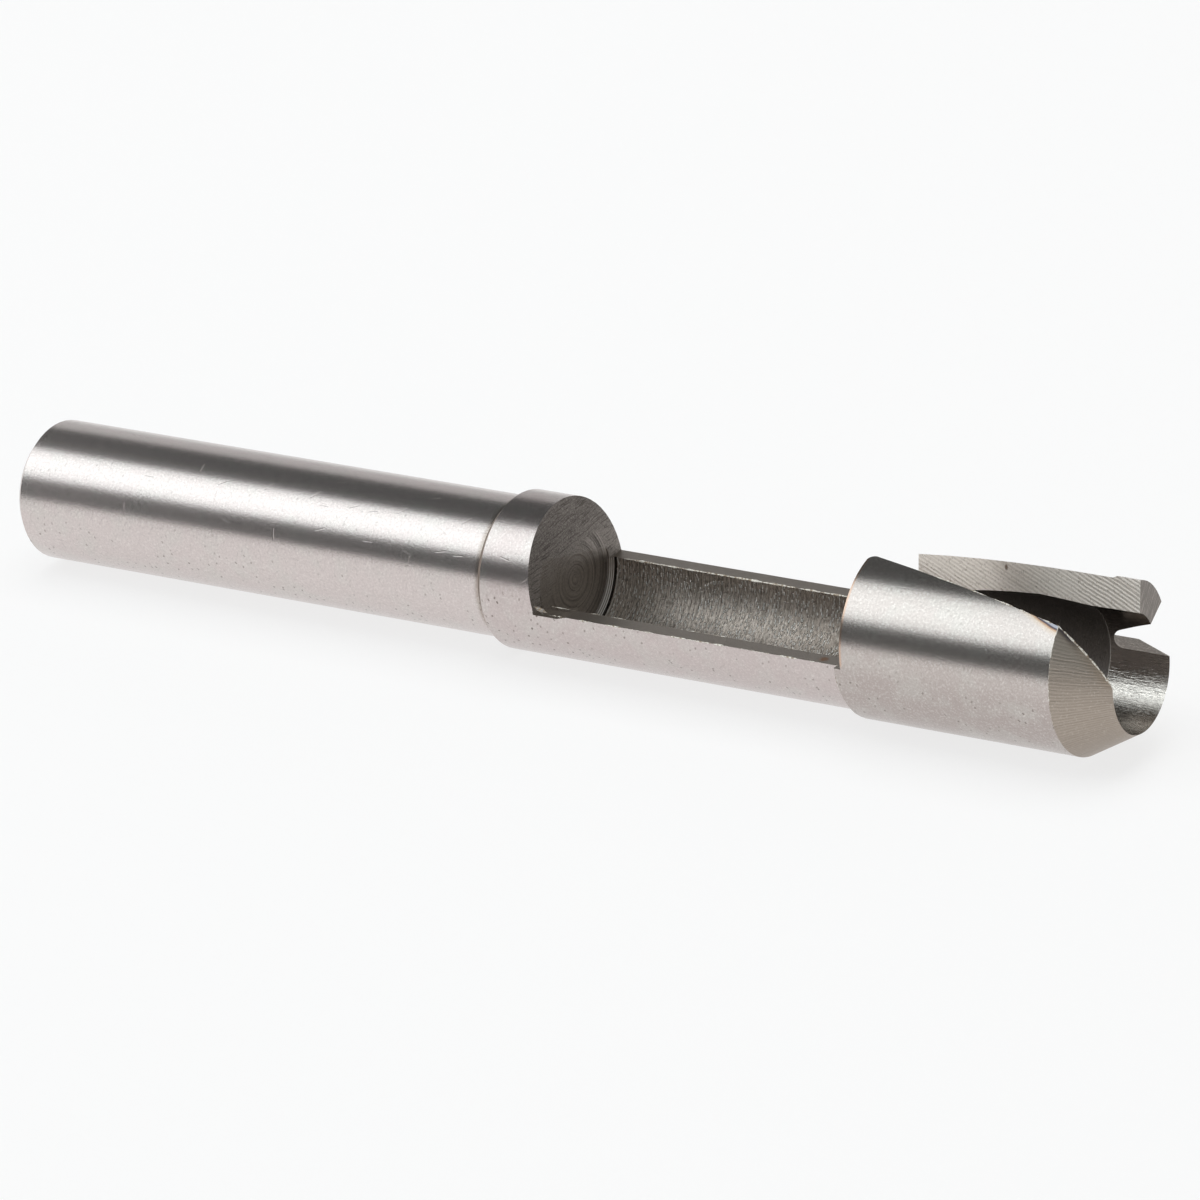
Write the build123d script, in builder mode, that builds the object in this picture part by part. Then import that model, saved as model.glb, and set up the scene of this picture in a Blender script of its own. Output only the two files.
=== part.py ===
from build123d import *
import math
import os

# Plug cutter with a side window, turned, bored, milled and ground from one bar of tool steel.
# Millimetres. The tool's axis is X: the shank's end face stands at x = 0 and the cutting end
# looks along +X. The window is open towards +Z. Angles round the axis run from +Z towards +Y.

# Turned outside, from the shank's end face forwards
shank_diameter = 12.0
shank_length = 50.15
shank_chamfer = 0.55
shoulder_cone_length = 0.7
collar_diameter = 13.4
head_start = 85.7
head_diameter = 14.5
head_edge_chamfer = 0.12
margin_length = 3.7
margin_rise_length = 0.5
margin_diameter = 14.9
nose_length = 110.8

# Bore: a chip and plug space behind a shorter and narrower cutting land
plug_bore_diameter = 9.6
relief_bore_diameter = 10.4
land_length = 6.4
bore_taper_length = 5.4
bore_end = 54.9
bore_end_chamfer = 0.4
bore_groove_width = 0.3
bore_groove_depth = 0.15

# Window, milled down to just under the axis with the cutter a little askew
window_floor = -0.3
window_wall = 55.15
window_front = 86.1
window_skew = 2.0
window_wall_lean = 8.0
head_corner_radius = 0.6
dwell_depth = 0.27
dwell_length = 2.4
dwell_ramp = 1.0

# Gash between the two prongs: its trailing wall ends the wide prong and its cutting face
# leads the narrow one. Both run obliquely, so each has one offset from the axis at the nose
# and one at the head's rear face, both taken at the height of the axis.
gash_trailing_offset = -4.55
gash_trailing_rear = 0.42
gash_trailing_flare = 10.6
gash_cutting_offset = 0.93
gash_cutting_rear = 4.93
gash_cutting_flare = 11.2
gash_floor = 0.0

# Wide prong: conical bevel, ground a little off centre towards the near side
bevel_half_angle = 28.8
bevel_length = 4.85
bevel_offset = 0.21
bevel_first_angle = 88.0
bevel_arc = 262.0

# Narrow prong: square end with a relief behind its cutting edge
edge_setback = 1.3
edge_relief = 12.0
edge_side = 2.4
edge_height = 6.6
edge_length = 4.7
prong_depth = 6.0

# Notch on the far side, in front of the wide prong's leading face
notch_angle = 95.3
notch_length = 6.07
notch_root_radius = 0.85
notch_flank_angle = 24.5
notch_runout_angle = 49.0
notch_level = 4.86
notch_wheel_reach = 8.0

shank_radius = shank_diameter / 2
collar_radius = collar_diameter / 2
head_radius = head_diameter / 2
margin_radius = margin_diameter / 2
plug_bore_radius = plug_bore_diameter / 2
relief_bore_radius = relief_bore_diameter / 2
land_start = nose_length - land_length
taper_start = land_start - bore_taper_length
margin_start = nose_length - margin_length - margin_rise_length
bevel_start = nose_length - bevel_length
edge_station = nose_length - edge_setback
shoulder_foot = shank_length - shoulder_cone_length
bore_corner = relief_bore_radius - bore_end_chamfer
groove_start = bore_end + bore_end_chamfer
groove_end = groove_start + bore_groove_width
# How far a cut is carried past the metal that it takes away
clear = 2.0


def gash_side(offset, rear, flare, x, z):
    """Sideways place of a gash wall: on the line from its rear offset to its offset at the nose,
    and leaning outwards with height."""
    share = (x - head_start) / (nose_length - head_start)
    upwards = (z - gash_floor) * math.tan(math.radians(flare))
    return rear + share * (offset - rear) + upwards


def gash_section(x, top):
    """Corners of the gash at one station: the floor first, then the wider mouth."""
    trailing = (gash_trailing_offset, gash_trailing_rear, -gash_trailing_flare)
    cutting = (gash_cutting_offset, gash_cutting_rear, gash_cutting_flare)
    return [
        (gash_side(*trailing, x, gash_floor), gash_floor),
        (gash_side(*cutting, x, gash_floor), gash_floor),
        (gash_side(*cutting, x, top), top),
        (gash_side(*trailing, x, top), top),
    ]


with BuildPart() as cutter_body:
    # Outside of the bar, turned and ground in one setting
    with BuildSketch(Plane.XY):
        with BuildLine():
            Polyline(
                (0, 0),
                (0, shank_radius - shank_chamfer),
                (shank_chamfer, shank_radius),
                (shoulder_foot, shank_radius),
                (shank_length, collar_radius),
                (head_start, collar_radius),
                (head_start, head_radius - head_edge_chamfer),
                (head_start + head_edge_chamfer, head_radius),
                (margin_start, head_radius),
                (margin_start + margin_rise_length, margin_radius),
                (nose_length, margin_radius),
                (nose_length, 0),
                close=True,
            )
        make_face()
    revolve(axis=Axis.X)

    # Bore from the nose to behind the window's wall, with a turned groove beside its bottom corner
    with BuildSketch(Plane.XZ):
        with BuildLine():
            Polyline(
                (bore_end, 0),
                (bore_end, bore_corner),
                (groove_start, relief_bore_radius),
                (groove_start, relief_bore_radius + bore_groove_depth),
                (groove_end, relief_bore_radius + bore_groove_depth),
                (groove_end, relief_bore_radius),
                (taper_start, relief_bore_radius),
                (land_start, plug_bore_radius),
                (nose_length + clear, plug_bore_radius),
                (nose_length + clear, 0),
                close=True,
            )
        make_face()
    revolve(axis=Axis.X, mode=Mode.SUBTRACT)

    # Window: flat floor, wall leaning back over the collar, square front face on the head
    skew = math.radians(window_skew)
    window_side = Plane(
        origin=(0, 0, 0),
        x_dir=(math.cos(skew), math.sin(skew), 0),
        z_dir=(math.sin(skew), -math.cos(skew), 0),
    )
    window_top = head_radius + clear
    lean = math.tan(math.radians(window_wall_lean))
    with BuildSketch(window_side):
        with BuildLine():
            Polyline(
                (window_wall - lean * window_floor, window_floor),
                (window_front, window_floor),
                (window_front, window_top),
                (window_wall - lean * window_top, window_top),
                close=True,
            )
        make_face()
    extrude(amount=margin_diameter, both=True, mode=Mode.SUBTRACT)

    # Shallow place in the near rim, where the cutter dwelt beside the wall
    with BuildSketch(window_side.offset(relief_bore_radius - clear)):
        with BuildLine():
            Polyline(
                (window_wall, window_floor),
                (window_wall, window_floor - dwell_depth),
                (window_wall + dwell_length, window_floor - dwell_depth),
                (window_wall + dwell_length + dwell_ramp, window_floor),
                close=True,
            )
        make_face()
    extrude(amount=margin_radius, mode=Mode.SUBTRACT)

    # Gash, running obliquely from the nose out through the head's rear face
    for station in (head_start - clear, nose_length + clear):
        with BuildSketch(Plane.YZ.offset(station)):
            with BuildLine():
                Polyline(*gash_section(station, margin_radius + clear), close=True)
            make_face()
    loft(ruled=True, mode=Mode.SUBTRACT)

    # The wide prong's upper rear corner, rounded across the wall
    rear_faces = cutter_body.faces().filter_by(
        lambda face: abs(face.normal_at().dot(window_side.x_dir)) > 0.999 and face.center().X > head_start
    )
    prong_rear = rear_faces.sort_by(Axis.Y)[0]
    fillet(prong_rear.edges().sort_by(Axis.Z)[-1], radius=head_corner_radius)

    # Notch in front of the wide prong's leading face, cut by a round-edged wheel that runs out
    # backwards, so that its root slopes and its far flank opens towards the narrow prong
    outward = Vector(0, math.sin(math.radians(notch_angle)), math.cos(math.radians(notch_angle)))
    notch_plane = Plane(origin=outward * notch_level, x_dir=(1, 0, 0), z_dir=outward)
    root_centre = nose_length - notch_length + notch_root_radius
    flank = math.radians(notch_flank_angle)
    flank_start = (
        root_centre - notch_root_radius * math.sin(flank),
        -notch_root_radius * (1 + math.cos(flank)),
    )
    flank_run = nose_length + notch_wheel_reach - flank_start[0]
    with BuildSketch(notch_plane):
        with BuildLine():
            CenterArc(
                (root_centre, -notch_root_radius),
                notch_root_radius,
                90,
                180 - notch_flank_angle,
            )
            Line((root_centre, 0), (flank_start[0] + flank_run, 0))
            Line(
                (flank_start[0] + flank_run, 0),
                (flank_start[0] + flank_run, flank_start[1] - flank_run * math.tan(flank)),
            )
            Line(
                (flank_start[0] + flank_run, flank_start[1] - flank_run * math.tan(flank)),
                flank_start,
            )
        make_face()
    runout = math.tan(math.radians(notch_runout_angle))
    wheel_path = Vector(-runout, outward.Y, outward.Z)
    extrude(
        amount=(head_radius - plug_bore_radius + clear) * wheel_path.length,
        dir=wheel_path,
        both=True,
        mode=Mode.SUBTRACT,
    )

    # Bevel of the wide prong, on its own axis beside the tool's
    first = math.radians(bevel_first_angle)
    bevel_plane = Plane(
        origin=(0, -bevel_offset, 0),
        x_dir=(1, 0, 0),
        z_dir=(0, -math.cos(first), math.sin(first)),
    )
    bevel_slope = math.tan(math.radians(bevel_half_angle))
    bevel_reach = margin_radius + clear
    with BuildSketch(bevel_plane):
        with BuildLine():
            Polyline(
                (bevel_start - (bevel_reach - head_radius) / bevel_slope, bevel_reach),
                (nose_length + clear, head_radius - (nose_length + clear - bevel_start) * bevel_slope),
                (nose_length + clear, bevel_reach),
                close=True,
            )
        make_face()
    revolve(
        axis=Axis((0, -bevel_offset, 0), (-1, 0, 0)),
        revolution_arc=bevel_arc,
        mode=Mode.SUBTRACT,
    )

    # Square end of the narrow prong, falling away behind its cutting edge
    cutting_lean = math.radians(gash_cutting_flare)
    edge_direction = Vector(0, math.sin(cutting_lean), math.cos(cutting_lean))
    behind_edge = Vector(0, math.cos(cutting_lean), -math.sin(cutting_lean))
    end_normal = Vector(1, 0, 0) + behind_edge * math.tan(math.radians(edge_relief))
    end_plane = Plane(
        origin=(edge_station, edge_side, edge_height),
        x_dir=edge_direction,
        z_dir=end_normal,
    )
    with BuildSketch(end_plane):
        with BuildLine():
            Polyline(
                (-edge_length, -prong_depth),
                (clear, -prong_depth),
                (clear, clear),
                (-edge_length, clear),
                close=True,
            )
        make_face()
    extrude(amount=2 * clear, mode=Mode.SUBTRACT)

cutter_body.part.label = "cutter_body"
os.makedirs("parts", exist_ok=True)
export_step(cutter_body.part, "parts/cutter_body.step")
print("volume", round(cutter_body.part.volume, 1), "mm3, solids", len(cutter_body.part.solids()))
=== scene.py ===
import math
from types import SimpleNamespace
import bpy
import numpy as np
from mathutils import Matrix


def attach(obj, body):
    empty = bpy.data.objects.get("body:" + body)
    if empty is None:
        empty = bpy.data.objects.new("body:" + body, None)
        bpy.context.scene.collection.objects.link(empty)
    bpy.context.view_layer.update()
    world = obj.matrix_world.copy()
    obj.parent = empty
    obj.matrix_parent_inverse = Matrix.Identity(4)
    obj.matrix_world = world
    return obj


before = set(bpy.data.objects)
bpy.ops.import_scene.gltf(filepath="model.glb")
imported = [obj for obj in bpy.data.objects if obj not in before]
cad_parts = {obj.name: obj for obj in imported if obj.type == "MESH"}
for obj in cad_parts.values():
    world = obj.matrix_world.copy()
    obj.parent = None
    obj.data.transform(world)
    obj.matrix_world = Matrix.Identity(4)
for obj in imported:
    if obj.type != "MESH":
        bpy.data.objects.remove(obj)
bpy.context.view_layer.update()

# The plug cutter's own measures in millimetres, in the frame of the solids: x runs from the
# shank's end to the nose, z points out of the window. Patterns and small pieces follow them.
MM = 0.001
SHANK_RADIUS = 6.0
SHANK_CHAMFER = 0.55
COLLAR_RADIUS = 6.7
HEAD_RADIUS = 7.25
HEAD_CHAMFER = 0.12
SHOULDER = 50.15
WINDOW_WALL = 55.15
WINDOW_FRONT = 86.1
WINDOW_SKEW = math.radians(2.0)
RIM_LEVEL = -0.3
BORE_RADIUS = 5.2
BORE_END = 54.9
GROOVE_START = 55.3
GROOVE_END = 55.6
HEAD_START = 85.7
NOSE = 110.8
LAND_START = 104.4
BEVEL_START = 105.95
BEVEL_OFFSET = 0.21
BEVEL_SLOPE = math.tan(math.radians(28.8))
BEVEL_SINE = math.sin(math.radians(28.8))
BEVEL_COSINE = math.cos(math.radians(28.8))

# The gash wall on the wide prong: its place at the nose, how far it goes sideways for each
# millimetre back and up, and the cosine that turns a sideways distance into one square to it
GASH_FOOT = -4.55
GASH_TURN = (0.42 - GASH_FOOT) / (NOSE - HEAD_START)
GASH_FLARE = math.tan(math.radians(10.6))
GASH_COSINE = 0.964

# Slope of the grinding grooves on the narrow prong's flat, in radians
GROOVE_SLOPE = 0.30

# Tones of the finishes: red, green, blue and alpha
TONES = {
    "shank": (0.636, 0.568, 0.552, 1.0),
    "collar": (0.570, 0.500, 0.486, 1.0),
    "head": (0.570, 0.512, 0.485, 1.0),
    # painted shade: the head's lower half, darkened for the dark band that it mirrors
    "head's lower half, painted shade": (0.42, 0.365, 0.345, 1.0),
    # painted shade: a dark brown strip on the ground just behind the shoulder's step
    "painted shade beside the shoulder": (0.26, 0.20, 0.155, 1.0),
    # painted shade: the shoulder's step between shank and collar
    "shoulder": (0.24, 0.19, 0.15, 1.0),
    "shank end ring": (0.30, 0.26, 0.24, 1.0),
    "ground cloud": (0.60, 0.60, 0.56, 1.0),
    "ground hollow": (0.36, 0.32, 0.30, 1.0),
    "ground crest": (0.95, 0.92, 0.88, 1.0),
    "ground speck": (0.95, 0.93, 0.90, 1.0),
    "nick": (0.25, 0.22, 0.20, 1.0),
    "pit": (0.085, 0.058, 0.042, 1.0),
    # painted shade: the wall's tones, lighter low down and darker high up
    "wall crest, low": (0.29, 0.26, 0.238, 1.0),
    "wall crest, high": (0.20, 0.178, 0.163, 1.0),
    "wall hollow, low": (0.20, 0.175, 0.158, 1.0),
    "wall hollow, high": (0.12, 0.104, 0.092, 1.0),
    "wall pore": (0.09, 0.078, 0.068, 1.0),
    "wall glint": (0.46, 0.42, 0.385, 1.0),
    "milled hollow": (0.08, 0.07, 0.062, 1.0),
    "ring hollow": (0.07, 0.061, 0.054, 1.0),
    "ring crest": (0.50, 0.455, 0.42, 1.0),
    "ring line": (0.50, 0.45, 0.41, 1.0),
    "bore bottom": (0.55, 0.50, 0.46, 1.0),
    # painted shade: the bore's bottom corner
    "bottom corner": (0.15, 0.128, 0.115, 1.0),
    "corner line": (0.62, 0.57, 0.53, 1.0),
    "groove shade": (0.045, 0.038, 0.033, 1.0),
    # painted highlight: the lip just past the relief groove
    "groove lip": (0.85, 0.80, 0.76, 1.0),
    "rim": (0.39, 0.34, 0.30, 1.0),
    "rust": (0.30, 0.13, 0.05, 1.0),
    "bore": (0.66, 0.575, 0.515, 1.0),
    "bore beside the head": (0.34, 0.285, 0.245, 1.0),
    "bore hollow": (0.30, 0.26, 0.225, 1.0),
    "torn hollow": (0.20, 0.17, 0.145, 1.0),
    "torn crest": (0.92, 0.87, 0.81, 1.0),
    "turned line": (0.22, 0.19, 0.165, 1.0),
    "glint": (1.0, 0.98, 0.95, 1.0),
    # painted shade: the bore inside the head, where little light reaches
    "inner bore": (0.26, 0.235, 0.22, 1.0),
    "land": (0.90, 0.845, 0.79, 1.0),
    # painted shade: the land's top and bottom, darker than its middle
    "land, top": (0.33, 0.30, 0.275, 1.0),
    "land, bottom": (0.26, 0.235, 0.21, 1.0),
    "honed crest": (0.98, 0.96, 0.93, 1.0),
    "honed hollow": (0.40, 0.36, 0.33, 1.0),
    "notch": (0.36, 0.31, 0.27, 1.0),
    "notch crest": (0.72, 0.66, 0.60, 1.0),
    "bevel": (0.41, 0.352, 0.302, 1.0),
    # painted light: the bevel's upper part, lighter towards the top
    "bevel, top": (0.58, 0.51, 0.45, 1.0),
    "bevel hollow": (0.30, 0.255, 0.215, 1.0),
    "bevel crest": (0.66, 0.60, 0.54, 1.0),
    "fan line": (0.28, 0.24, 0.20, 1.0),
    "flat": (1.0, 0.93, 0.855, 1.0),
    "flat groove": (0.48, 0.42, 0.37, 1.0),
    "flat hollow": (0.60, 0.53, 0.47, 1.0),
    "flat pore": (0.45, 0.39, 0.34, 1.0),
    "dark spot": (0.16, 0.09, 0.05, 1.0),
    "rear edge": (0.62, 0.40, 0.28, 1.0),
    "prong end": (0.165, 0.143, 0.125, 1.0),
    "prong end crest": (0.34, 0.30, 0.27, 1.0),
    "heat straw": (0.60, 0.46, 0.32, 1.0),
    "heat brown": (0.38, 0.21, 0.11, 1.0),
    "heat purple": (0.085, 0.07, 0.085, 1.0),
    "heat lilac": (0.33, 0.33, 0.37, 1.0),
    "corner purple": (0.09, 0.075, 0.085, 1.0),
    "bevel straw": (0.32, 0.22, 0.13, 1.0),
    "torn edge": (0.92, 0.88, 0.80, 1.0),
    "smeared edge": (0.40, 0.36, 0.33, 1.0),
    "dirt on an edge": (0.36, 0.28, 0.20, 1.0),
}


class Pattern:
    """A number that varies over the surface. Sums written with it become nodes of the material."""

    def __init__(self, finish, socket):
        self.finish = finish
        self.socket = socket

    def sum(self, kind, *others):
        return self.finish.sum(kind, self, *others)

    def __add__(self, other):
        return self.sum("ADD", other)

    __radd__ = __add__

    def __mul__(self, other):
        return self.sum("MULTIPLY", other)

    __rmul__ = __mul__

    def __sub__(self, other):
        return self.sum("SUBTRACT", other)

    def __rsub__(self, other):
        return self.finish.sum("SUBTRACT", other, self)

    def __abs__(self):
        return self.sum("ABSOLUTE")

    def sine(self):
        return self.sum("SINE")

    def power(self, exponent):
        return self.sum("POWER", exponent)

    def above(self, low, high):
        """0 below low, 1 above high, a soft step between."""
        return self.finish.ramp(self, low, high)

    def below(self, low, high):
        """1 below low, 0 above high, a soft step between."""
        return 1.0 - self.finish.ramp(self, low, high)

    def near(self, place, reach):
        """1 at a value, falling to 0 at a distance of reach from it."""
        return abs(self - place).below(0.0, reach)


class Finish:
    """A material, and the short calls that its patterns are written with."""

    def __init__(self, name):
        self.material = bpy.data.materials.new(name)
        self.material.use_nodes = True
        self.tree = self.material.node_tree
        self.tree.nodes.clear()

    def node(self, kind, sockets, **settings):
        made = self.tree.nodes.new(kind)
        for key, value in settings.items():
            setattr(made, key, value)
        for key, value in sockets.items():
            self.feed(made.inputs[key], value)
        return made

    def feed(self, socket, value):
        """Link a pattern or another node's socket to a socket, or set a plain value on it."""
        if isinstance(value, Pattern):
            value = value.socket
        if isinstance(value, bpy.types.NodeSocket):
            self.tree.links.new(value, socket)
        else:
            socket.default_value = value

    def sum(self, kind, *values):
        made = self.node("ShaderNodeMath", dict(enumerate(values)), operation=kind)
        return Pattern(self, made.outputs[0])

    def ramp(self, value, low, high):
        sockets = {"Value": value, "From Min": low, "From Max": high}
        made = self.node("ShaderNodeMapRange", sockets, interpolation_type="SMOOTHSTEP")
        return Pattern(self, made.outputs["Result"])

    def vector(self, kind, *values):
        made = self.node("ShaderNodeVectorMath", dict(enumerate(values)), operation=kind)
        return made.outputs["Value" if kind in ("DOT_PRODUCT", "LENGTH") else "Vector"]

    def number(self, socket):
        return Pattern(self, socket)

    def place(self, x, y, z):
        return self.node("ShaderNodeCombineXYZ", {"X": x, "Y": y, "Z": z}).outputs[0]

    def parts(self, vector):
        made = self.node("ShaderNodeSeparateXYZ", {0: vector})
        return [Pattern(self, made.outputs[axis]) for axis in "XYZ"]

    def noise(self, place, scale, detail, roughness):
        """Smooth noise round 0.5. Detail is how many finer layers lie over the first, and
        roughness is how strong each is beside the one before."""
        sockets = {"Vector": place, "Scale": scale, "Detail": detail, "Roughness": roughness}
        return Pattern(self, self.node("ShaderNodeTexNoise", sockets).outputs[0])

    def choose(self, amount, first, second):
        """first where amount is 0, second where it is 1, for numbers."""
        return first + amount * (second - first)

    def tint(self, amount, first, second):
        """The same for colours."""
        made = self.node("ShaderNodeMix", {}, data_type="RGBA")
        self.feed(made.inputs[0], amount)
        self.feed(made.inputs[6], first)
        self.feed(made.inputs[7], second)
        return made.outputs[2]

    def turn(self, amount, first, second):
        """The same for directions and places."""
        made = self.node("ShaderNodeMix", {}, data_type="VECTOR")
        self.feed(made.inputs[0], amount)
        self.feed(made.inputs[4], first)
        self.feed(made.inputs[5], second)
        return made.outputs[1]


def dashes(steel, along, around, cell, chance, length, width, lean, spread):
    """Scattered short marks, 1 on a mark and 0 beside it. A plane net of cells holds one mark in
    the given chance of them. A mark is turned from x by lean, give or take spread, in radians, and
    its half length and half width are in millimetres."""
    sockets = {"Vector": steel.place(along, around, 0.0), "Scale": 1.0 / cell}
    made = steel.node("ShaderNodeTexVoronoi", sockets, voronoi_dimensions="2D")
    split = steel.node("ShaderNodeSeparateColor", {0: made.outputs["Color"]})
    pick, swing, share = (Pattern(steel, split.outputs[i]) for i in range(3))
    centre_x, centre_y, _ = steel.parts(made.outputs["Position"])
    angle = (swing - 0.5) * (2 * spread) + lean
    side_x, side_y = along - centre_x, around - centre_y
    cosine, sine = angle.sum("COSINE"), angle.sine()
    lengthwise = abs(side_x * cosine + side_y * sine)
    sideways = abs(side_y * cosine - side_x * sine)
    inside = lengthwise.below(0.6 * length, length) * sideways.below(0.3 * width, width)
    picked = pick.above(1.0 - chance - 0.01, 1.0 - chance + 0.01)
    return inside * picked * (share * 0.4 + 0.6)


# The steel's finish is written with three sets of numbers that vary over the tool: at is where a
# point lies and which way its face looks, on is which face it is on, and seen is the patterns.


def surface_places(steel):
    """Where a point of the steel lies, in millimetres and round the tool's axis, and which way its
    face looks. The way outwards is (0, y, z) divided by its length."""
    texture = steel.node("ShaderNodeTexCoord", {})
    geometry = steel.node("ShaderNodeNewGeometry", {})
    at = SimpleNamespace()
    at.point = steel.vector("MULTIPLY", texture.outputs["Object"], (1 / MM, 1 / MM, 1 / MM))
    at.x, at.y, at.z = steel.parts(at.point)
    across = steel.place(0.0, at.y, at.z)
    at.radius = steel.number(steel.vector("LENGTH", across))
    at.outwards = steel.vector("NORMALIZE", across)
    at.angle = steel.sum("ARCTAN2", at.y, at.z)
    at.around = at.angle * at.radius
    at.face = geometry.outputs["True Normal"]
    at.facing_out = steel.number(steel.vector("DOT_PRODUCT", at.face, at.outwards))
    at.facing_x, at.facing_y, at.facing_z = steel.parts(at.face)
    gash_side = GASH_FOOT - (at.x - NOSE) * GASH_TURN - at.z * GASH_FLARE
    at.beside_gash = (gash_side - at.y) * GASH_COSINE
    at.bevel_turn = steel.sum("ARCTAN2", at.y + BEVEL_OFFSET, at.z)
    return at


def faces_of_tool(steel, at):
    """Masks for the finishes: each is 1 on its own face and 0 on the others, from the place of the
    point and from the way its face looks."""
    x, y, z = at.x, at.y, at.z
    on = SimpleNamespace()
    on.ground = at.facing_out.above(0.95, 0.96)
    on.bored = at.facing_out.below(-0.96, -0.95)
    on.cut = (1.0 - on.ground) * (1.0 - on.bored)
    on.head = x.above(HEAD_START - 0.1, HEAD_START)
    on.shank_end = at.facing_x.below(-0.91, -0.9) * x.below(0.1, 0.2)
    shoulder = on.cut * x.above(SHOULDER - 0.75, SHOULDER - 0.7)
    on.shoulder = shoulder * x.below(SHOULDER + 0.01, SHOULDER + 0.02)

    # The window: its wall, the bottom of the bore in it, and its rims
    forward = at.facing_x.above(0.9, 0.91)
    on.bore_bottom = at.facing_x.above(0.998, 0.999) * x.below(56.0, 57.0)
    on.wall = forward * x.below(60.0, 61.0) * (1.0 - on.bore_bottom)
    on.end_face = steel.sum("MAXIMUM", on.wall, on.bore_bottom)
    on.rim = at.facing_z.above(0.95, 0.96) * abs(z - RIM_LEVEL).below(0.35, 0.4)
    bottom_corner = on.cut * at.radius.below(5.36, 5.38) * x.above(BORE_END, BORE_END + 0.01)
    bottom_corner = bottom_corner * x.below(GROOVE_END + 0.05, GROOVE_END + 0.1)
    on.bottom_corner = bottom_corner * (1.0 - on.rim) * (1.0 - on.wall)

    # The drill's rings show on the bore's bottom and fade out towards the near side, where the
    # milling cutter's lines run on
    near_side = (z * 0.55 - y * 0.83).above(1.0, 3.4)
    on.ringed = on.end_face * z.below(1.9, 3.0) * (1.0 - near_side) * at.radius.below(4.8, 5.0)
    on.milled = on.end_face - on.ringed

    # The bore in the window, the bore in the head, and the land that cuts the plug
    on.inner_bore = on.bored * x.above(HEAD_START - 0.2, HEAD_START + 0.2)
    on.window_bore = on.bored - on.inner_bore
    on.land = on.bored * x.above(LAND_START, LAND_START + 0.1)

    # The two prongs
    front = x.above(BEVEL_START - 0.3, BEVEL_START - 0.2)
    bevel = at.facing_out.above(0.75, 0.76) * at.facing_x.above(0.4, 0.41)
    on.bevel = bevel * front * on.cut
    on.prong_end = forward * x.above(107.0, 108.0)
    on.flat = at.facing_y.below(-0.9, -0.85) * y.above(-0.5, -0.4) * on.cut
    notch = on.cut * x.above(102.5, 103.0) * y.above(3.2, 3.6)
    on.notch = notch * (1.0 - on.prong_end) * (1.0 - on.flat)
    on.matted = on.flat * x.above(94.0, 103.0)
    return on


def smooth_forms(steel, at, on):
    """The way the real round face looks at each point of its facets: out of the axis where it was
    turned, into the axis in the bore, and square to its own cone on the bevel."""
    inwards = steel.vector("MULTIPLY", at.outwards, (-1.0, -1.0, -1.0))
    bevel_across = steel.vector("NORMALIZE", steel.place(0.0, at.y + BEVEL_OFFSET, at.z))
    bevel_across = steel.vector("MULTIPLY", bevel_across, 3 * (BEVEL_COSINE,))
    cone = steel.vector("ADD", bevel_across, (BEVEL_SINE, 0.0, 0.0))
    form = steel.turn(on.ground, at.face, at.outwards)
    form = steel.turn(on.bored, form, inwards)
    return steel.turn(on.bevel, form, cone)


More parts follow.
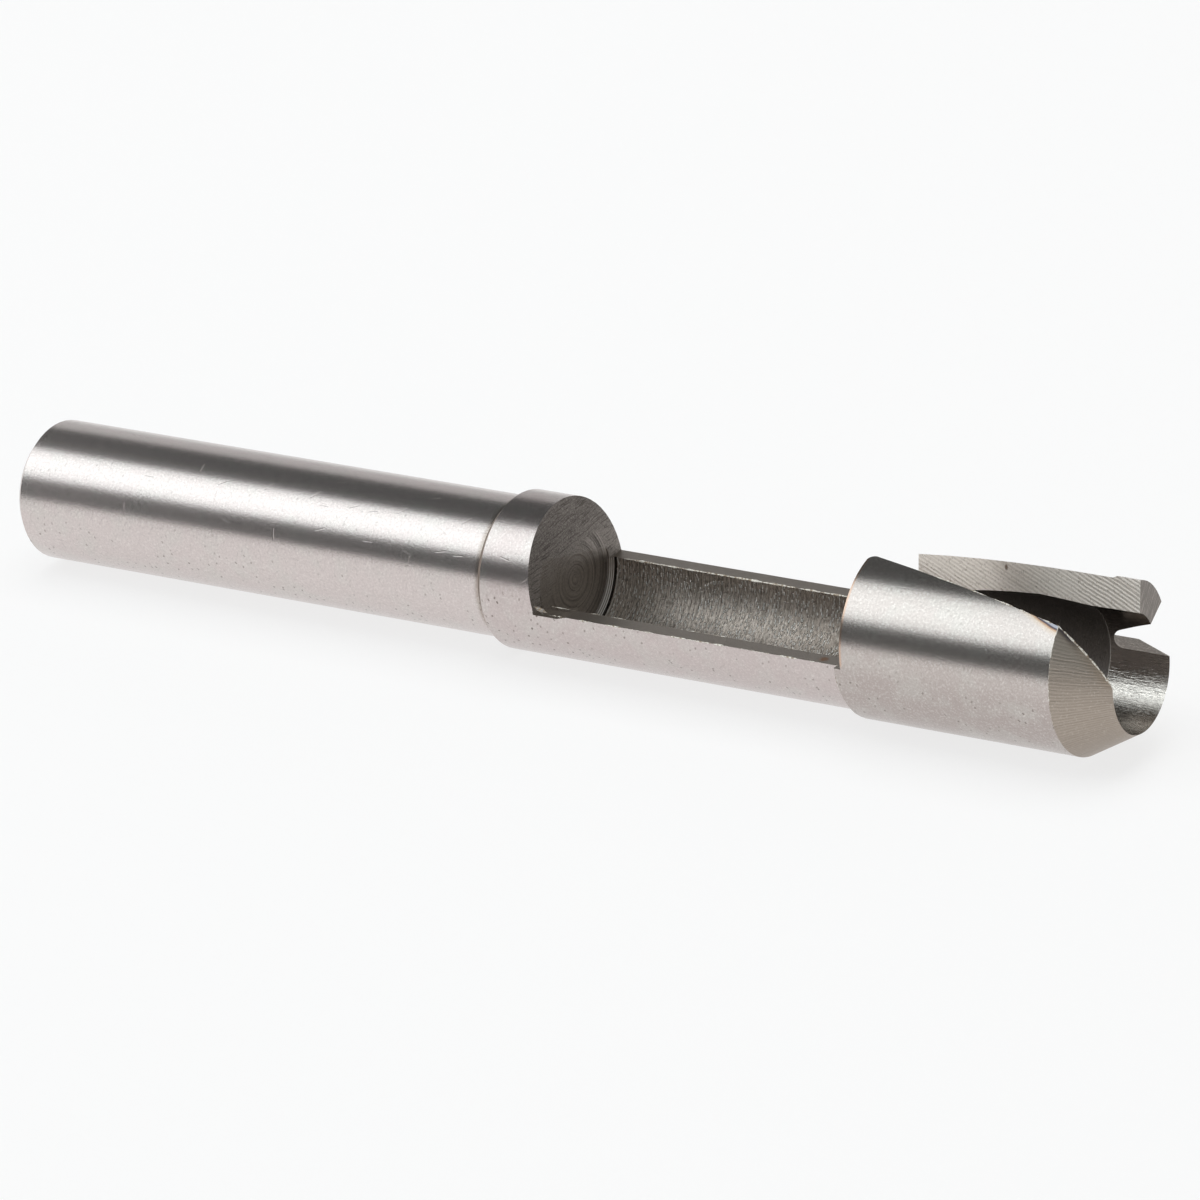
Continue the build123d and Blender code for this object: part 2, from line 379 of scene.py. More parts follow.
def patterns_of_steel(steel, at, on):
    """Patterns of the finishes. Fine grain, mottle and broad clouds lie on all faces. One noise of
    marks is drawn out along the marks of each face's own tool: its place is scaled up across them
    and down along them."""
    x, y, z = at.x, at.y, at.z
    seen = SimpleNamespace()
    seen.grain = steel.noise(at.point, 7.0, 3.0, 0.68)
    seen.mottle = steel.noise(at.point, 5.0, 3.0, 0.75)
    seen.clouds = steel.noise(at.point, 0.45, 2.0, 0.5)
    patches = steel.noise(at.point, 0.8, 2.0, 0.6).above(0.38, 0.54)

    level = z - y * 0.07 + seen.clouds * 0.45
    across_grooves = x * math.sin(GROOVE_SLOPE) + z * math.cos(GROOVE_SLOPE)
    across_grooves = across_grooves + seen.clouds * 0.06
    end_place = steel.place((y * 0.8 + z * 0.6) * 0.5, (z * 0.8 - y * 0.6) * 7.0, 0.0)
    bevel_place = steel.place(at.bevel_turn * 30.0 + seen.clouds * 0.3, x * 0.12, 0.0)
    drawn = steel.place(x * 5.0, y * 0.4, z * 0.4)
    milled_place = steel.place(y * 0.5, level * 8.0, 0.0)
    drawn = steel.turn(on.wall + on.bore_bottom, drawn, milled_place)
    drawn = steel.turn(on.bored, drawn, steel.place(x * 5.5, y * 0.35, z * 0.35))
    drawn = steel.turn(on.land, drawn, steel.place(x * 0.7, at.around * 8.0, 0.0))
    drawn = steel.turn(on.rim, drawn, steel.place(x * 0.8, y * 6.0, 0.0))
    drawn = steel.turn(on.flat, drawn, steel.place(across_grooves * 4.2, x * 0.10, 0.0))
    drawn = steel.turn(on.bevel, drawn, bevel_place)
    drawn = steel.turn(on.prong_end, drawn, end_place)
    seen.marks = steel.noise(drawn, 1.0, 3.0, 0.72)

    # Ground faces: pits, crowded behind the window's near corner and strewn elsewhere, and nicks
    crowd = x.above(50.0, 51.5) * x.below(58.0, 62.0) * y.below(-5.2, -4.6) * z.below(0.0, 1.5)
    crowd = crowd * patches
    strewn = seen.clouds.above(0.46, 0.58) * (0.35 + 0.65 * z.below(-1.5, 0.5))
    pits = dashes(
        steel, x, at.around,
        cell=0.8, chance=0.5, length=0.14, width=0.115, lean=1.3, spread=0.9,
    )
    seen.pits = pits * steel.sum("MAXIMUM", crowd, strewn * 0.7) * on.ground
    seen.specks = on.ground * dashes(
        steel, x, at.around + 3.0,
        cell=0.42, chance=0.3, length=0.09, width=0.06, lean=1.2, spread=1.4,
    )
    worn = on.ground * (1.0 - on.head * 0.75)
    seen.nicks = worn * dashes(
        steel, x, at.around,
        cell=2.4, chance=0.5, length=0.6, width=0.07, lean=0.5, spread=1.2,
    )
    seen.fine_nicks = worn * dashes(
        steel, x + 7.0, at.around,
        cell=1.3, chance=0.45, length=0.5, width=0.06, lean=1.2, spread=0.7,
    )

    # Bore bottom: rings of the drill's end, those near the middle a little off the axis
    ring_radius = steel.number(steel.vector("LENGTH", steel.place(0.0, y - 0.15, z + 0.3)))
    ring_radius = steel.choose(at.radius.above(2.9, 3.6), ring_radius, at.radius)
    seen.rings = steel.noise(steel.place(ring_radius * 5.2, at.angle * 0.2, 0.0), 1.0, 3.0, 0.7)
    lower_side = (y * 0.7 - z * 0.7).above(0.3, 2.2)
    lines = ring_radius.near(2.62, 0.13) * lower_side + ring_radius.near(4.66, 0.09) * 1.1
    lines = lines + ring_radius.near(2.05, 0.1) * 0.35 + ring_radius.near(1.42, 0.1) * 0.35
    seen.ring_lines = lines + ring_radius.below(0.1, 0.24) * 0.8
    lines = at.radius.near(4.93, 0.05) + at.radius.near(5.05, 0.05)
    seen.corner_lines = lines + at.radius.near(5.17, 0.04) * 1.2

    # Bore: close turned lines, torn in places, with glints where the metal tore
    seen.torn = steel.noise(steel.place(x * 7.5, at.around * 2.2, 0.0), 1.0, 3.0, 0.7)
    glints = dashes(
        steel, at.around, x,
        cell=0.36, chance=0.7, length=0.2, width=0.075, lean=0.0, spread=0.3,
    )
    seen.glints = glints * patches * on.window_bore
    turned = (x * (2 * math.pi / 0.42) + seen.clouds * 5.0).sine()
    seen.turned = turned * x.below(64.0, 84.0)

    # Prongs: even grooves of the flat, deeper at its front, and the bevel's fan of fine lines
    seen.grooves = (across_grooves * (2 * math.pi / 0.33) + seen.clouds * 4.0).sine()
    seen.groove_depth = 0.35 + 0.65 * x.above(101.0, 106.0)
    seen.fan_lines = (at.bevel_turn * (2 * math.pi / 0.042) + seen.clouds * 9.0).sine()
    return seen


def relief_of_steel(on, seen):
    """Height of the finish over each face, in millimetres: the face's patterns, each less its
    middle value and times its depth."""
    grain, mottle, marks = seen.grain - 0.5, seen.mottle - 0.5, seen.marks - 0.5
    rings, torn = seen.rings - 0.5, seen.torn - 0.5
    height = (grain * 0.0045 + mottle * (0.004 - 0.002 * on.head) + marks * 0.002) * on.ground
    height = height - seen.nicks * 0.007
    height = height + (marks * 0.028 + grain * 0.024) * on.milled
    height = height + (rings * 0.035 + grain * 0.014) * on.ringed
    tear = marks * 0.055 + torn * 0.05 + seen.glints * 0.12
    height = height + tear * (on.bored - on.land)
    height = height + (marks * 0.026 + grain * 0.012) * on.land
    height = height + (marks * 0.03 + grain * 0.02) * on.rim
    grooves = seen.grooves * 0.016 * seen.groove_depth + marks * 0.02 + mottle * 0.012
    height = height + grooves * on.flat
    height = height + (marks * 0.035 + seen.fan_lines * 0.003 + mottle * 0.02) * on.bevel
    height = height + marks * 0.025 * on.prong_end
    return height + rings * 0.03 * on.shank_end


def paint(steel, colour, *coats):
    """Coats laid over a colour one after another. Each coat is how much of it shows, from 0 to 1,
    and the name of its tone."""
    for amount, tone in coats:
        colour = steel.tint(amount, colour, TONES[tone])
    return colour


def outer_tones(steel, at, on, seen):
    """Colours of the ground outside: shank, collar and head, with clouds, mottle and nicks, and
    with painted shade on the head's lower half and beside the shoulder.
    """
    x, z = at.x, at.z
    rough_skin = 0.24 + 0.06 * on.head
    # Painted shade: a dark brown strip on the ground just behind the shoulder's step, beside the
    # collar.
    shade_beside_shoulder = on.ground * x.above(48.9, 49.4) * x.below(49.5, 49.52)
    colour = steel.tint(x.above(SHOULDER - 0.2, SHOULDER), TONES["shank"], TONES["collar"])
    return paint(
        steel, colour,
        (on.head, "head"),
        # Painted shade: the head's lower half is darkened, standing in for the dark band that it
        # mirrors.
        (on.head * z.below(-1.5, 2.0) * 0.8, "head's lower half, painted shade"),
        (shade_beside_shoulder * 0.6, "painted shade beside the shoulder"),
        (seen.clouds.above(0.4, 0.75) * 0.3, "ground cloud"),
        (seen.mottle.below(0.3, 0.5) * rough_skin, "ground hollow"),
        (seen.mottle.above(0.5, 0.7) * rough_skin, "ground crest"),
        (seen.specks * 0.2, "ground speck"),
        ((seen.nicks + seen.fine_nicks) * 0.15, "nick"),
    )


def end_face_tones(steel, at, on, seen, colour):
    """Colours of the window's wall and of the bore's bottom, with painted shade that darkens them
    towards the top.
    """
    # Painted shade: crest and hollow tones both turn darker towards the top of the wall and bore
    # bottom.
    shade_towards_top = at.z.above(0.5, 5.0)
    light = steel.tint(shade_towards_top, TONES["wall crest, low"], TONES["wall crest, high"])
    dark = steel.tint(shade_towards_top, TONES["wall hollow, low"], TONES["wall hollow, high"])
    lines = steel.choose(on.ringed, seen.marks, seen.rings)
    skin = steel.tint(lines.below(0.32, 0.54), light, dark)
    skin = paint(
        steel, skin,
        (seen.grain.below(0.36, 0.5) * 0.45, "wall pore"),
        (seen.grain.above(0.5, 0.66) * 0.4, "wall glint"),
        (on.ringed * seen.rings.below(0.40, 0.48) * 0.7, "ring hollow"),
        (on.ringed * seen.rings.above(0.54, 0.62) * 0.4, "ring crest"),
        (on.milled * seen.marks.below(0.40, 0.48) * 0.55, "milled hollow"),
        (on.ringed * seen.ring_lines * 0.6, "ring line"),
    )
    colour = steel.tint(on.end_face, colour, skin)
    return paint(steel, colour, (on.bore_bottom * 0.25, "bore bottom"), (on.rim, "rim"))


def bore_tones(steel, at, on, seen, colour):
    """Colours of the bore in the window, of the bore in the head and of the land."""
    z, marks, torn = at.z, seen.marks, seen.torn
    return paint(
        steel, colour,
        (on.bored, "bore"),
        (on.bored * at.x.above(68.0, 82.0), "bore beside the head"),
        (on.bored * marks.below(0.38, 0.5) * 0.7, "bore hollow"),
        (on.bored * torn.below(0.38, 0.48) * 0.75, "torn hollow"),
        (on.bored * torn.above(0.54, 0.62) * 0.4, "torn crest"),
        (on.bored * seen.turned.above(0.1, 0.9) * 0.4, "turned line"),
        (on.bored * seen.glints, "glint"),
        # Painted shade: the bore inside the head is dark, where little light reaches.
        (on.inner_bore, "inner bore"),
        (on.land, "land"),
        (on.land * marks.above(0.55, 0.68) * 0.6, "honed crest"),
        (on.land * marks.below(0.34, 0.46) * 0.6, "honed hollow"),
        # Painted shade: the land is darkened at its bottom and at its top, leaving a light band in
        # the middle.
        (on.land * z.below(-4.4, -3.0) * 0.7, "land, bottom"),
        (on.land * z.above(-0.6, 1.2) * 0.8, "land, top"),
    )


def corner_tones(steel, at, on, seen, colour):
    """Colours of the notch, of the bore's bottom corner and its groove, of the shoulder and of the
    shank's end face. The dark bottom corner and the dark shoulder are painted shade, and the light
    lip past the groove is a painted highlight."""
    groove_shade = at.x.above(GROOVE_START - 0.01, GROOVE_START + 0.03)
    groove_shade = groove_shade * at.x.below(GROOVE_START + 0.15, GROOVE_START + 0.2)
    # Painted highlight: a light strip on the bore along the lip past the groove.
    groove_lip = at.x.near(GROOVE_END + 0.1, 0.08) * on.bored
    return paint(
        steel, colour,
        (on.notch, "notch"),
        (on.notch * seen.mottle.above(0.5, 0.62) * 0.7, "notch crest"),
        # Painted shade: the bore's bottom corner is coloured dark.
        (on.bottom_corner, "bottom corner"),
        (on.bottom_corner * seen.corner_lines * 0.8, "corner line"),
        (groove_shade * (on.bored + on.bottom_corner) * (1.0 - on.rim), "groove shade"),
        # Painted highlight: a light strip along the lip past the groove.
        (groove_lip * 0.7, "groove lip"),
        # Painted shade: the shoulder's step is coloured dark brown.
        (on.shoulder, "shoulder"),
        (on.shank_end * seen.rings.below(0.35, 0.6) * 0.6, "shank end ring"),
    )


def prong_tones(steel, at, on, seen, colour):
    """Colours of the bevel, of the narrow prong's flat and end, of the rust spots and the warm
    line along the head's rear edge, and of the pits, which lie over all ground faces."""
    x, y, z = at.x, at.y, at.z
    marks, mottle = seen.marks, seen.mottle
    groove_share = 0.08 + 0.42 * seen.groove_depth
    dark_spot = steel.vector("LENGTH", steel.place(x - 95.4, 0.0, (z - 5.2) * 0.7))
    dark_spot = steel.number(dark_spot)
    rust = steel.number(steel.vector("LENGTH", steel.place(x - 84.0, y + 6.0, 0.0)))
    rust = rust + (mottle - 0.5) * 0.8
    from_rear = x * math.cos(WINDOW_SKEW) + y * math.sin(WINDOW_SKEW) - WINDOW_FRONT
    rear_edge = on.ground * on.head * from_rear.below(0.05, 0.28) * z.above(RIM_LEVEL, 0.2)
    return paint(
        steel, colour,
        (on.bevel, "bevel"),
        # Painted light: the bevel is lighter towards its top.
        (on.bevel * z.above(1.5, 4.0) * 0.5, "bevel, top"),
        (on.bevel * marks.below(0.3, 0.5) * 0.75, "bevel hollow"),
        (on.bevel * seen.fan_lines.below(-0.6, 0.4) * 0.45, "fan line"),
        (on.bevel * mottle.above(0.55, 0.7) * 0.4, "bevel crest"),
        (on.flat, "flat"),
        (on.flat * seen.grooves.below(-0.8, 0.5) * groove_share, "flat groove"),
        (on.flat * marks.below(0.3, 0.5) * 0.6, "flat hollow"),
        (on.flat * mottle.below(0.32, 0.46) * 0.7, "flat pore"),
        (on.flat * dark_spot.below(0.08, 0.24) * 0.8, "dark spot"),
        (on.rim * rust.below(0.15, 0.55) * 0.8, "rust"),
        (rear_edge * 0.7, "rear edge"),
        (on.prong_end, "prong end"),
        (on.prong_end * marks.above(0.5, 0.65), "prong end crest"),
        (seen.pits * 0.9, "pit"),
    )


def heat_tones(steel, at, on, seen, colour):
    """Heat colours of the grinding at the wide prong's edge: lilac at the edge itself, then purple,
    brown and straw, each over a wider strip than the one that covers it."""
    x = at.x
    upper = at.z.above(0.5, 1.5)
    strip = at.beside_gash + (1.0 - x.above(99.5, 106.5)) + (seen.clouds - 0.5) * 0.2
    warm = on.ground * upper * at.beside_gash.above(-0.1, 0.0) * x.above(98.0, 101.0)
    hot_edge = on.bevel * upper * at.beside_gash.below(0.0, 0.8)
    hot_corner = on.bevel * upper * at.beside_gash.below(0.08, 0.5) * x.below(107.0, 108.4)
    return paint(
        steel, colour,
        (warm * strip.below(0.4, 0.9) * 0.45, "heat straw"),
        (warm * strip.below(0.32, 0.55) * 0.8, "heat brown"),
        (warm * strip.below(0.26, 0.38), "heat purple"),
        (warm * strip.below(0.15, 0.24), "heat lilac"),
        (hot_edge * 0.3, "bevel straw"),
        (hot_corner * 0.9, "corner purple"),
    )


def roughness_of_steel(steel, on, seen):
    """How matt each face is: the land is the smoothest and the window's wall the roughest."""
    rough = steel.choose(on.ground, 0.42, 0.20 + 0.06 * seen.grain)
    rough = steel.choose(on.land, rough, 0.14)
    rough = steel.choose(on.wall, rough, 0.55)
    rough = steel.choose(on.flat, rough, 0.36)
    rough = steel.choose(on.matted, rough, 0.5)
    return steel.choose(on.bevel, rough, 0.42)


def tool_steel():
    """Tool steel with every finish of the tool, each one bounded by the measures of its face."""
    steel = Finish("ground_and_milled_steel")
    at = surface_places(steel)
    on = faces_of_tool(steel, at)
    seen = patterns_of_steel(steel, at, on)
    colour = outer_tones(steel, at, on, seen)
    colour = end_face_tones(steel, at, on, seen, colour)
    colour = bore_tones(steel, at, on, seen, colour)
    colour = corner_tones(steel, at, on, seen, colour)
    colour = prong_tones(steel, at, on, seen, colour)
    colour = heat_tones(steel, at, on, seen, colour)
    bumped = steel.node("ShaderNodeBump", {
        "Height": relief_of_steel(on, seen),
        "Distance": MM,
        "Normal": smooth_forms(steel, at, on),
    })
    shader = steel.node("ShaderNodeBsdfPrincipled", {
        "Base Color": colour,
        "Metallic": 1.0 - 0.85 * on.matted,
        "Roughness": roughness_of_steel(steel, on, seen),
        "Normal": bumped.outputs[0],
    })
    steel.node("ShaderNodeOutputMaterial", {"Surface": shader.outputs[0]})
    return steel.material


def edge_steel(name, tone):
    """Torn and rubbed edge: steel of the given tone with brown dirt in its hollows."""
    steel = Finish(name)
    texture = steel.node("ShaderNodeTexCoord", {})
    point = steel.vector("MULTIPLY", texture.outputs["Object"], (1 / MM, 1 / MM, 1 / MM))
    lumps = steel.noise(point, 4.0, 3.0, 0.7)
    colour = steel.tint(lumps.below(0.38, 0.55), TONES[tone], TONES["dirt on an edge"])
    bumped = steel.node("ShaderNodeBump", {"Height": (lumps - 0.5) * 0.03, "Distance": MM})
    shader = steel.node("ShaderNodeBsdfPrincipled", {
        "Base Color": colour,
        "Metallic": 0.5,
        "Roughness": 0.3 + lumps * 0.2,
        "Normal": bumped.outputs[0],
    })
    steel.node("ShaderNodeOutputMaterial", {"Surface": shader.outputs[0]})
    return steel.material


def ragged(length, seed, pitch):
    """Smooth random heights from 0 to 1 along an edge: random values at every pitch, joined by
    half cosine waves."""
    chance = np.random.default_rng(seed)
    knots = chance.random(int(length[-1] / pitch) + 3)
    place = length / pitch
    whole = np.floor(place).astype(int)
    share = 0.5 - 0.5 * np.cos(math.pi * (place - whole))
    return knots[whole] * (1 - share) + knots[whole + 1] * share


def burr(name, path, thickness, seed, gaps, material):
    """Fine burr along an edge. path is an array of points in millimetres. A flattened ring of
    eight points goes round each point of the path, square to it, with its broad side up and
    towards the near side; its half width is the thickness times a ragged height from which gaps
    is taken off, so that the burr thins out and comes back. It fades out over its last 0.6 mm."""
    fade, thinnest = 0.6, 0.02
    near_and_up = np.array([-0.06, -0.70, 0.71])
    step = np.diff(path, axis=0)
    length = np.concatenate([[0.0], np.cumsum(np.linalg.norm(step, axis=1))])
    forward = np.gradient(path, axis=0)
    forward = forward / np.linalg.norm(forward, axis=1)[:, None]
    first = np.cross(forward, near_and_up)
    first = first / np.linalg.norm(first, axis=1)[:, None]
    second = 0.4 * np.cross(forward, first)
    rough = 0.6 * ragged(length, seed, 0.9) + 0.4 * ragged(length, seed + 1, 0.25)
    size = thickness * np.clip((rough - gaps) / (1.0 - gaps), thinnest, 1.0)
    size = size * np.clip(length / fade, thinnest, 1.0)
    size = size * np.clip((length[-1] - length) / fade, thinnest, 1.0)
    turn = np.linspace(0.0, 2 * math.pi, 9)[:-1]
    ring = np.cos(turn)[None, :, None] * first[:, None, :]
    ring = ring + np.sin(turn)[None, :, None] * second[:, None, :]
    grid = path[:, None, :] + size[:, None, None] * ring
    return tube_piece(name, grid, material)


def tube_piece(name, grid, material):
    """A closed tube from rings of points in millimetres: each ring joins the next with four-sided
    faces, and the first and last are closed with one face each."""
    rows, columns = grid.shape[:2]
    number = np.arange(rows * columns).reshape(rows, columns)
    beside = np.roll(number, -1, axis=1)
    faces = np.stack([number[:-1], number[1:], beside[1:], beside[:-1]], axis=-1).reshape(-1, 4)
    ends = [number[0].tolist(), number[-1][::-1].tolist()]
    mesh = bpy.data.meshes.new(name)
    mesh.from_pydata((grid.reshape(-1, 3) * MM).tolist(), [], faces.tolist() + ends)
    centre = grid.mean(axis=1)
    side = np.cross(grid[0, 1] - grid[0, 0], grid[1, 0] - grid[0, 0])
    if side @ (grid[0, 0] - centre[0]) > 0:
        mesh.flip_normals()
    mesh.shade_smooth()
    mesh.materials.append(material)
    made = bpy.data.objects.new(name, mesh)
    bpy.context.scene.collection.objects.link(made)
    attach(made, "root")
    return made


def edge_of_wall(x, radius, offset):
    """Where the gash wall, y = side - z * flare, meets a round of the given radius at each x, whose
    axis is moved by offset to the near side. Put into y*y + z*z = r*r, that is a quadratic in z."""
    side = GASH_FOOT - (x - NOSE) * GASH_TURN + offset
    a = 1 + GASH_FLARE ** 2
    b = -2 * side * GASH_FLARE
    c = side ** 2 - radius ** 2
    z = (-b + np.sqrt(b * b - 4 * a * c)) / (2 * a)
    return np.stack([x, side - z * GASH_FLARE - offset, z], axis=1)


def edge_of_gash(x):
    """The wide prong's upper edge on the head, whose radius stays the same."""
    return edge_of_wall(x, HEAD_RADIUS, 0.0)


def edge_of_bevel(x):
    """The wide prong's edge on its bevel, a cone whose radius falls with x."""
    return edge_of_wall(x, HEAD_RADIUS - (x - BEVEL_START) * BEVEL_SLOPE, BEVEL_OFFSET)


def rim_of_bevel(first, last, count):
    """The bevel's rim on the head: a point of the head's round at each angle, in radians from +Z
    towards +Y, and the x at which the cone reaches that point's distance from its own axis."""
    turn = np.linspace(first, last, count)
    rim = np.stack([np.sin(turn), np.cos(turn)], axis=1) * (HEAD_RADIUS - 0.01)
    reach = np.hypot(rim[:, 0] + BEVEL_OFFSET, rim[:, 1])
    station = BEVEL_START + (HEAD_RADIUS - reach) / BEVEL_SLOPE
    return np.concatenate([station[:, None], rim], axis=1)


def circle(station, radius, first, last, count):
    """Points of a circle round the axis, from first to last degrees, from +Z towards +Y."""
    turn = np.radians(np.linspace(first, last, count))
    return np.stack([station + 0 * turn, radius * np.sin(turn), radius * np.cos(turn)], axis=1)


def torn_edges():
    """All fine burrs of the tool, each on its own edge of the solids. A burr's numbers are its
    thickness in millimetres, the seed of its ragged heights, and its gaps."""
    bright = edge_steel("torn_edge_steel", "torn edge")
    dull = edge_steel("smeared_edge_steel", "smeared edge")

    # The window's rims run straight along the tool, at the bore and at the collar's outside
    along = np.linspace(WINDOW_WALL + 1.05, WINDOW_FRONT - 0.2, 500)
    inner = math.sqrt(BORE_RADIUS ** 2 - RIM_LEVEL ** 2)
    outer = math.sqrt(COLLAR_RADIUS ** 2 - RIM_LEVEL ** 2)
    middle = np.stack([along, 0 * along, 0 * along + RIM_LEVEL], axis=1)
    burr("far_rim_burr", middle + [0, inner, 0.02], 0.15, 3, 0.05, bright)
    burr("near_rim_burr", middle + [0, -inner, 0], 0.06, 7, 0.50, bright)
    burr("near_rim_outer_burr", middle + [0, -outer, 0], 0.09, 11, 0.40, bright)

    # The wide prong's upper edge, on the head and on the bevel
    head_edge = edge_of_gash(np.linspace(93.0, BEVEL_START - 0.05, 300))
    bevel_edge = edge_of_bevel(np.linspace(BEVEL_START + 0.05, NOSE - 0.05, 160))
    burr("wide_prong_edge_burr", head_edge, 0.07, 13, 0.35, bright)
    burr("bevel_edge_burr", bevel_edge, 0.17, 17, 0.10, bright)

    # The head's rear edge below the window, and the smear of metal at the window's near corner
    rear_edge = circle(HEAD_START + 0.05, HEAD_RADIUS - 0.05, -95.0, -175.0, 200)
    burr("head_rear_edge_burr", rear_edge, 0.05, 19, 0.2, bright)
    share = np.linspace(0.0, 1.0, 60)
    smear = np.stack([55.3 + 1.5 * share, -6.42 + 0 * share, 0.1 - 0.42 * share], axis=1)
    burr("window_corner_burr", smear, 0.30, 23, 0.0, dull)
    burr("bevel_rim_burr", rim_of_bevel(-0.62, -1.9, 160), 0.09, 29, 0.2, bright)


def sheet_mesh(name, points, material):
    """A surface from a grid of points, given as an array of rows, columns and x, y, z in metres.
    Each cell between four neighbouring points is one face."""
    rows, columns = points.shape[:2]
    number = np.arange(rows * columns).reshape(rows, columns)
    corners = [number[:-1, :-1], number[:-1, 1:], number[1:, 1:], number[1:, :-1]]
    faces = np.stack(corners, axis=-1).reshape(-1, 4)
    mesh = bpy.data.meshes.new(name)
    mesh.from_pydata(points.reshape(-1, 3), [], faces)
    mesh.shade_smooth()
    mesh.materials.append(material)
    made = bpy.data.objects.new(name, mesh)
    bpy.context.scene.collection.objects.link(made)
    return made


def studio_white():
    """Pale matt card that looks white to the camera and in the steel, and keeps shadows. Its own
    colour is base, and lift is how much of its white is independent of shadows. The white falls
    off far behind the tool, from 0.45 m to 1.2 m."""
    base, lift = 0.88, 0.75
    card = Finish("studio_floor_card")
    path = card.node("ShaderNodeLightPath", {})
    seen = card.number(path.outputs["Is Camera Ray"]) + card.number(path.outputs["Is Glossy Ray"])
    through = card.number(path.outputs["Is Transmission Ray"])
    seen = card.sum("MAXIMUM", card.sum("MINIMUM", seen, 1.0), through)
    texture = card.node("ShaderNodeTexCoord", {})
    _, behind, _ = card.parts(texture.outputs["Object"])
    level = 1.0 - 0.45 * behind.above(0.45, 1.2)
    matt = card.node("ShaderNodeBsdfDiffuse", {"Color": (base, base, base, 1.0)})
    white = card.node("ShaderNodeEmission", {"Color": (1.0, 1.0, 1.0, 1.0), "Strength": level})
    sockets = {0: seen * lift, 1: matt.outputs[0], 2: white.outputs[0]}
    blend = card.node("ShaderNodeMixShader", sockets)
    card.node("ShaderNodeOutputMaterial", {"Surface": blend.outputs[0]})
    return card.material


def soft_step(value, low, high):
    """0 below low, 1 above high, and the curve 3 t t - 2 t t t between."""
    share = np.clip((value - low) / (high - low), 0.0, 1.0)
    return share * share * (3.0 - 2.0 * share)


def floor_and_cove():
    """Pale round floor that lies under the shank and the head, with a cove all round. Its profile
    runs out flat and then up a quarter ellipse; it turns about the vertical. The cove is high
    behind the tool, and low before the shank's end. The floor leans with the tool, which rests
    on its shank and on its larger head."""
    rest_rear = (SHANK_CHAMFER, -SHANK_RADIUS)
    rest_front = (HEAD_START + HEAD_CHAMFER, -HEAD_RADIUS)
    lean = (rest_front[1] - rest_rear[1]) / (rest_front[0] - rest_rear[0])
    flat_reach, reach = 1100.0, 1400.0
    side_height, added_behind, taken_in_front = 220.0, 520.0, 170.0
    turn = np.linspace(0.0, 2 * math.pi, 145)[:, None]
    from_behind = np.abs(np.degrees(turn) - 90.0)
    from_behind = np.minimum(from_behind, 360.0 - from_behind)
    from_front = np.abs(np.degrees(turn) - 235.0)
    height = side_height + added_behind * (1.0 - soft_step(from_behind, 60.0, 100.0))
    height = height - taken_in_front * (1.0 - soft_step(from_front, 20.0, 50.0))
    bend = np.linspace(0.0, math.pi / 2, 17)[None, :]
    flat = np.array([[0.0, 250.0, 600.0]])
    out = np.concatenate([flat, flat_reach + (reach - flat_reach) * np.sin(bend)], axis=1)
    up = np.concatenate([0.0 * flat * height, height * (1.0 - np.cos(bend))], axis=1)
    grid = np.zeros(up.shape + (3,))
    grid[..., 0] = out * np.cos(turn)
    grid[..., 1] = out * np.sin(turn)
    grid[..., 2] = up + rest_rear[1] + lean * (grid[..., 0] - rest_rear[0])
    card = sheet_mesh("studio_floor", grid * MM, studio_white())


def lamp_pose(centre):
    """Place and turn of a flat lamp that looks at the tool's middle: its own x lies level along
    the tool, and its own y is square to that and to the way the lamp looks."""
    middle = np.array(centre) * MM
    aim = np.array([0.05, 0.0, 0.0]) - middle
    aim = aim / np.linalg.norm(aim)
    side = np.array([1.0, 0.0, 0.0])
    side = side - aim * (side @ aim)
    side = side / np.linalg.norm(side)
    return middle, side, np.cross(side, aim)


def soft_box():
    """The lamp that the bright bands show: a flat four-sided diffuser, brightest in its middle.
    Its grid runs straight between two straight ends, and it is seen only by what it lights."""
    cells = 24
    middle, side, upward = lamp_pose((-250.0, -160.0, 330.0))
    across = np.linspace(0.0, 1.0, cells + 1)[:, None]
    along = np.linspace(0.0, 1.0, cells + 1)[None, :]
    u = -170.0 + 350.0 * along + 0.0 * across
    low = -205.0 - 0.75 * u
    high = 172.0 + 0.2 * u
    v = low + (high - low) * across
    grid = middle + (u[..., None] * side + v[..., None] * upward) * MM

    glow = Finish("soft_box_diffuser")
    first, second, _ = glow.parts(glow.node("ShaderNodeUVMap", {}).outputs[0])
    middle_share = 4.0 * first * (1.0 - first)
    ends_share = 4.0 * second * (1.0 - second)
    strength = 0.77 + 1.17 * middle_share.power(0.5)
    strength = strength * (0.9 + 0.1 * ends_share)
    sockets = {"Color": (0.91, 0.975, 0.99, 1.0), "Strength": strength}
    light = glow.node("ShaderNodeEmission", sockets)
    glow.node("ShaderNodeOutputMaterial", {"Surface": light.outputs[0]})

    box = sheet_mesh("soft_box", grid, glow.material)
    uv = box.data.uv_layers.new(name="UVMap")
    number = np.zeros(len(box.data.loops), dtype=np.int32)
    box.data.loops.foreach_get("vertex_index", number)
    row, column = np.divmod(number, cells + 1)
    uv.data.foreach_set("uv", np.stack([row / cells, column / cells], axis=1).ravel())
    box.visible_camera = False


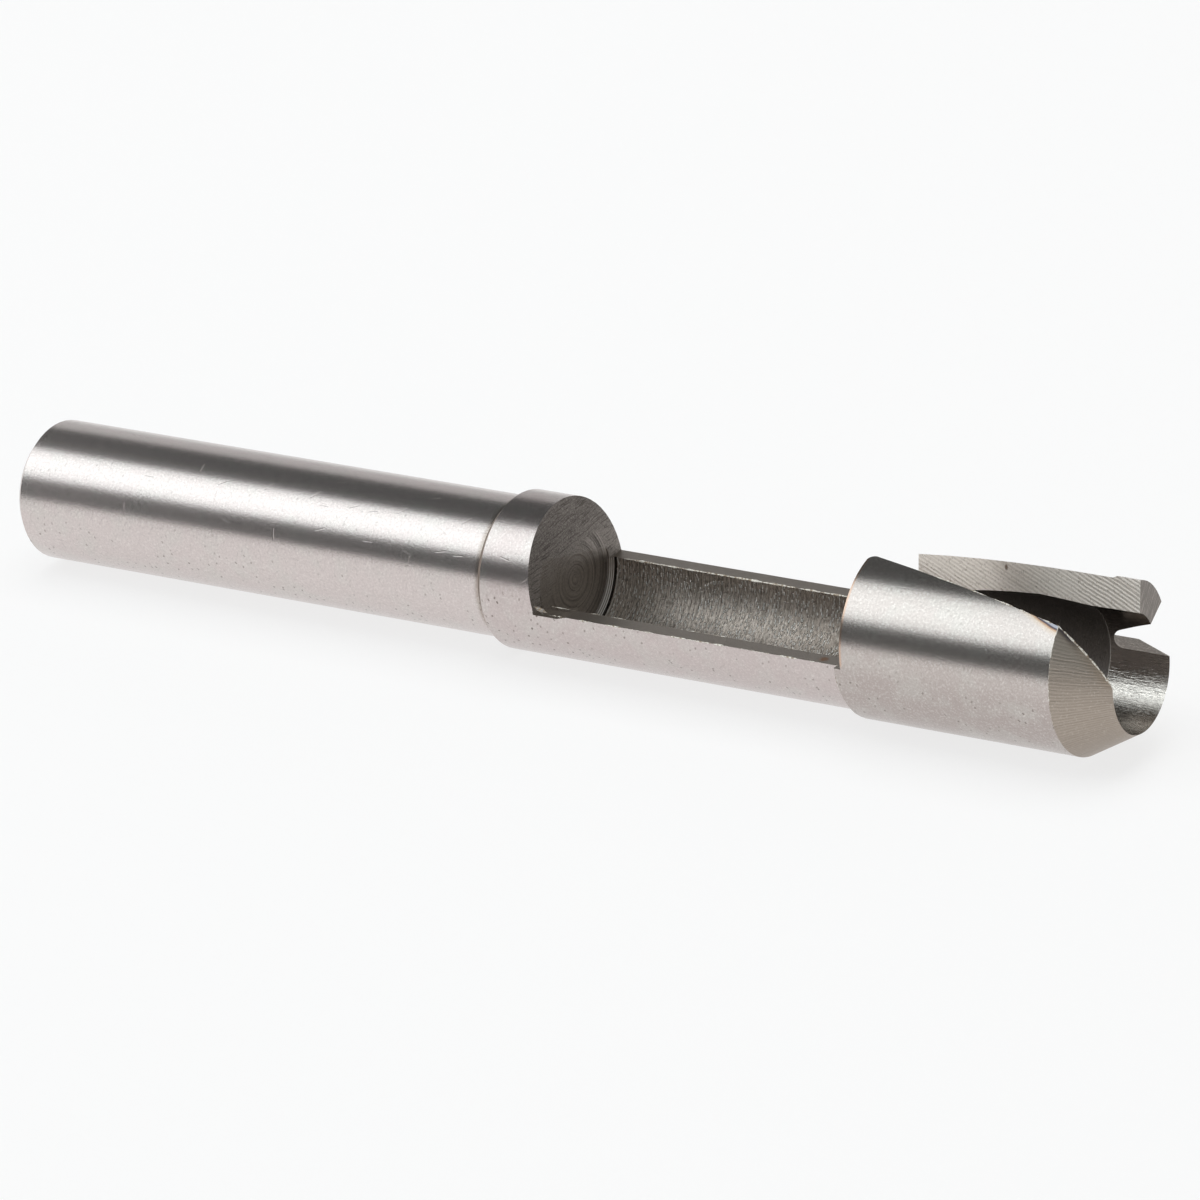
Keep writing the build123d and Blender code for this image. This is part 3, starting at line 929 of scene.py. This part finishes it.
def side_card():
    """White card that stands past the shank's end and faces the tool, outside the bands. It is an
    upright half disc: its radius and its angle over the floor are the grid's two ways."""
    station, radius, sunk = -400.0, 400.0, 5.0
    turn = np.linspace(0.0, math.pi, 25)[:, None]
    reach = np.linspace(0.0, radius, 5)[None, :]
    x = station + 0.0 * turn * reach
    grid = np.stack([x, -reach * np.cos(turn), reach * np.sin(turn) - sunk], axis=-1)
    glow = Finish("side_card_white")
    sockets = {"Color": (1.0, 1.0, 1.0, 1.0), "Strength": 1.2}
    light = glow.node("ShaderNodeEmission", sockets)
    glow.node("ShaderNodeOutputMaterial", {"Surface": light.outputs[0]})
    card = sheet_mesh("side_card", grid * MM, glow.material)
    card.visible_camera = card.visible_diffuse = card.visible_shadow = False


def floor_light():
    """High even light on the floor card, which keeps it white; the steel doesn't mirror it."""
    lamp = bpy.data.lights.new("floor_light", "AREA")
    lamp.shape = "SQUARE"
    lamp.size = 1.6
    lamp.energy = 16.0
    made = bpy.data.objects.new("floor_light", lamp)
    made.location = (-0.1, 0.1, 1.4)
    made.visible_camera = False
    made.visible_glossy = False
    bpy.context.scene.collection.objects.link(made)


def studio_air():
    """Surroundings: a plain dark studio, a little lighter towards the nose."""
    world = bpy.data.worlds.new("studio_air")
    bpy.context.scene.world = world
    world.use_nodes = True
    nodes, links = world.node_tree.nodes, world.node_tree.links
    nodes.clear()
    way = nodes.new("ShaderNodeTexCoord")
    split = nodes.new("ShaderNodeSeparateXYZ")
    links.new(way.outputs["Generated"], split.inputs[0])
    share = nodes.new("ShaderNodeMapRange")
    share.interpolation_type = "SMOOTHSTEP"
    share.inputs["From Min"].default_value = -0.35
    share.inputs["From Max"].default_value = 0.35
    share.inputs["To Min"].default_value = 0.10
    share.inputs["To Max"].default_value = 0.42
    links.new(split.outputs[0], share.inputs["Value"])
    room = nodes.new("ShaderNodeBackground")
    room.inputs[0].default_value = (0.94, 1.0, 1.0, 1.0)
    links.new(share.outputs["Result"], room.inputs[1])
    out = nodes.new("ShaderNodeOutputWorld")
    links.new(room.outputs[0], out.inputs[0])


def photo_camera():
    """Camera at the photograph's place and angle, with its long lens. Its right, down and ahead
    are the columns of its turn, and a Blender camera looks back along its own z."""
    data = bpy.data.cameras.new("photo_camera")
    data.sensor_fit = "HORIZONTAL"
    data.sensor_width = 36.0
    data.lens = 258.33
    data.clip_start = 0.01
    data.clip_end = 20.0
    camera = bpy.data.objects.new("photo_camera", data)
    bpy.context.scene.collection.objects.link(camera)
    right = (0.81039501, 0.57461317, -0.11436622)
    down = (0.14151558, -0.38140188, -0.91351297)
    ahead = (-0.56853607, 0.72412175, -0.39040290)
    place = (462.0 * MM, -515.4 * MM, 276.15 * MM)
    pose = Matrix.Identity(4)
    for row in range(3):
        pose[row][:] = right[row], -down[row], -ahead[row], place[row]
    camera.matrix_world = pose
    bpy.context.scene.camera = camera


photo_camera()
studio_air()
floor_and_cove()
soft_box()
side_card()
floor_light()

torn_edges()
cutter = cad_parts["cutter_body"]
cutter.data.materials.clear()
cutter.data.materials.append(tool_steel())

bpy.context.scene.view_settings.view_transform = "Standard"
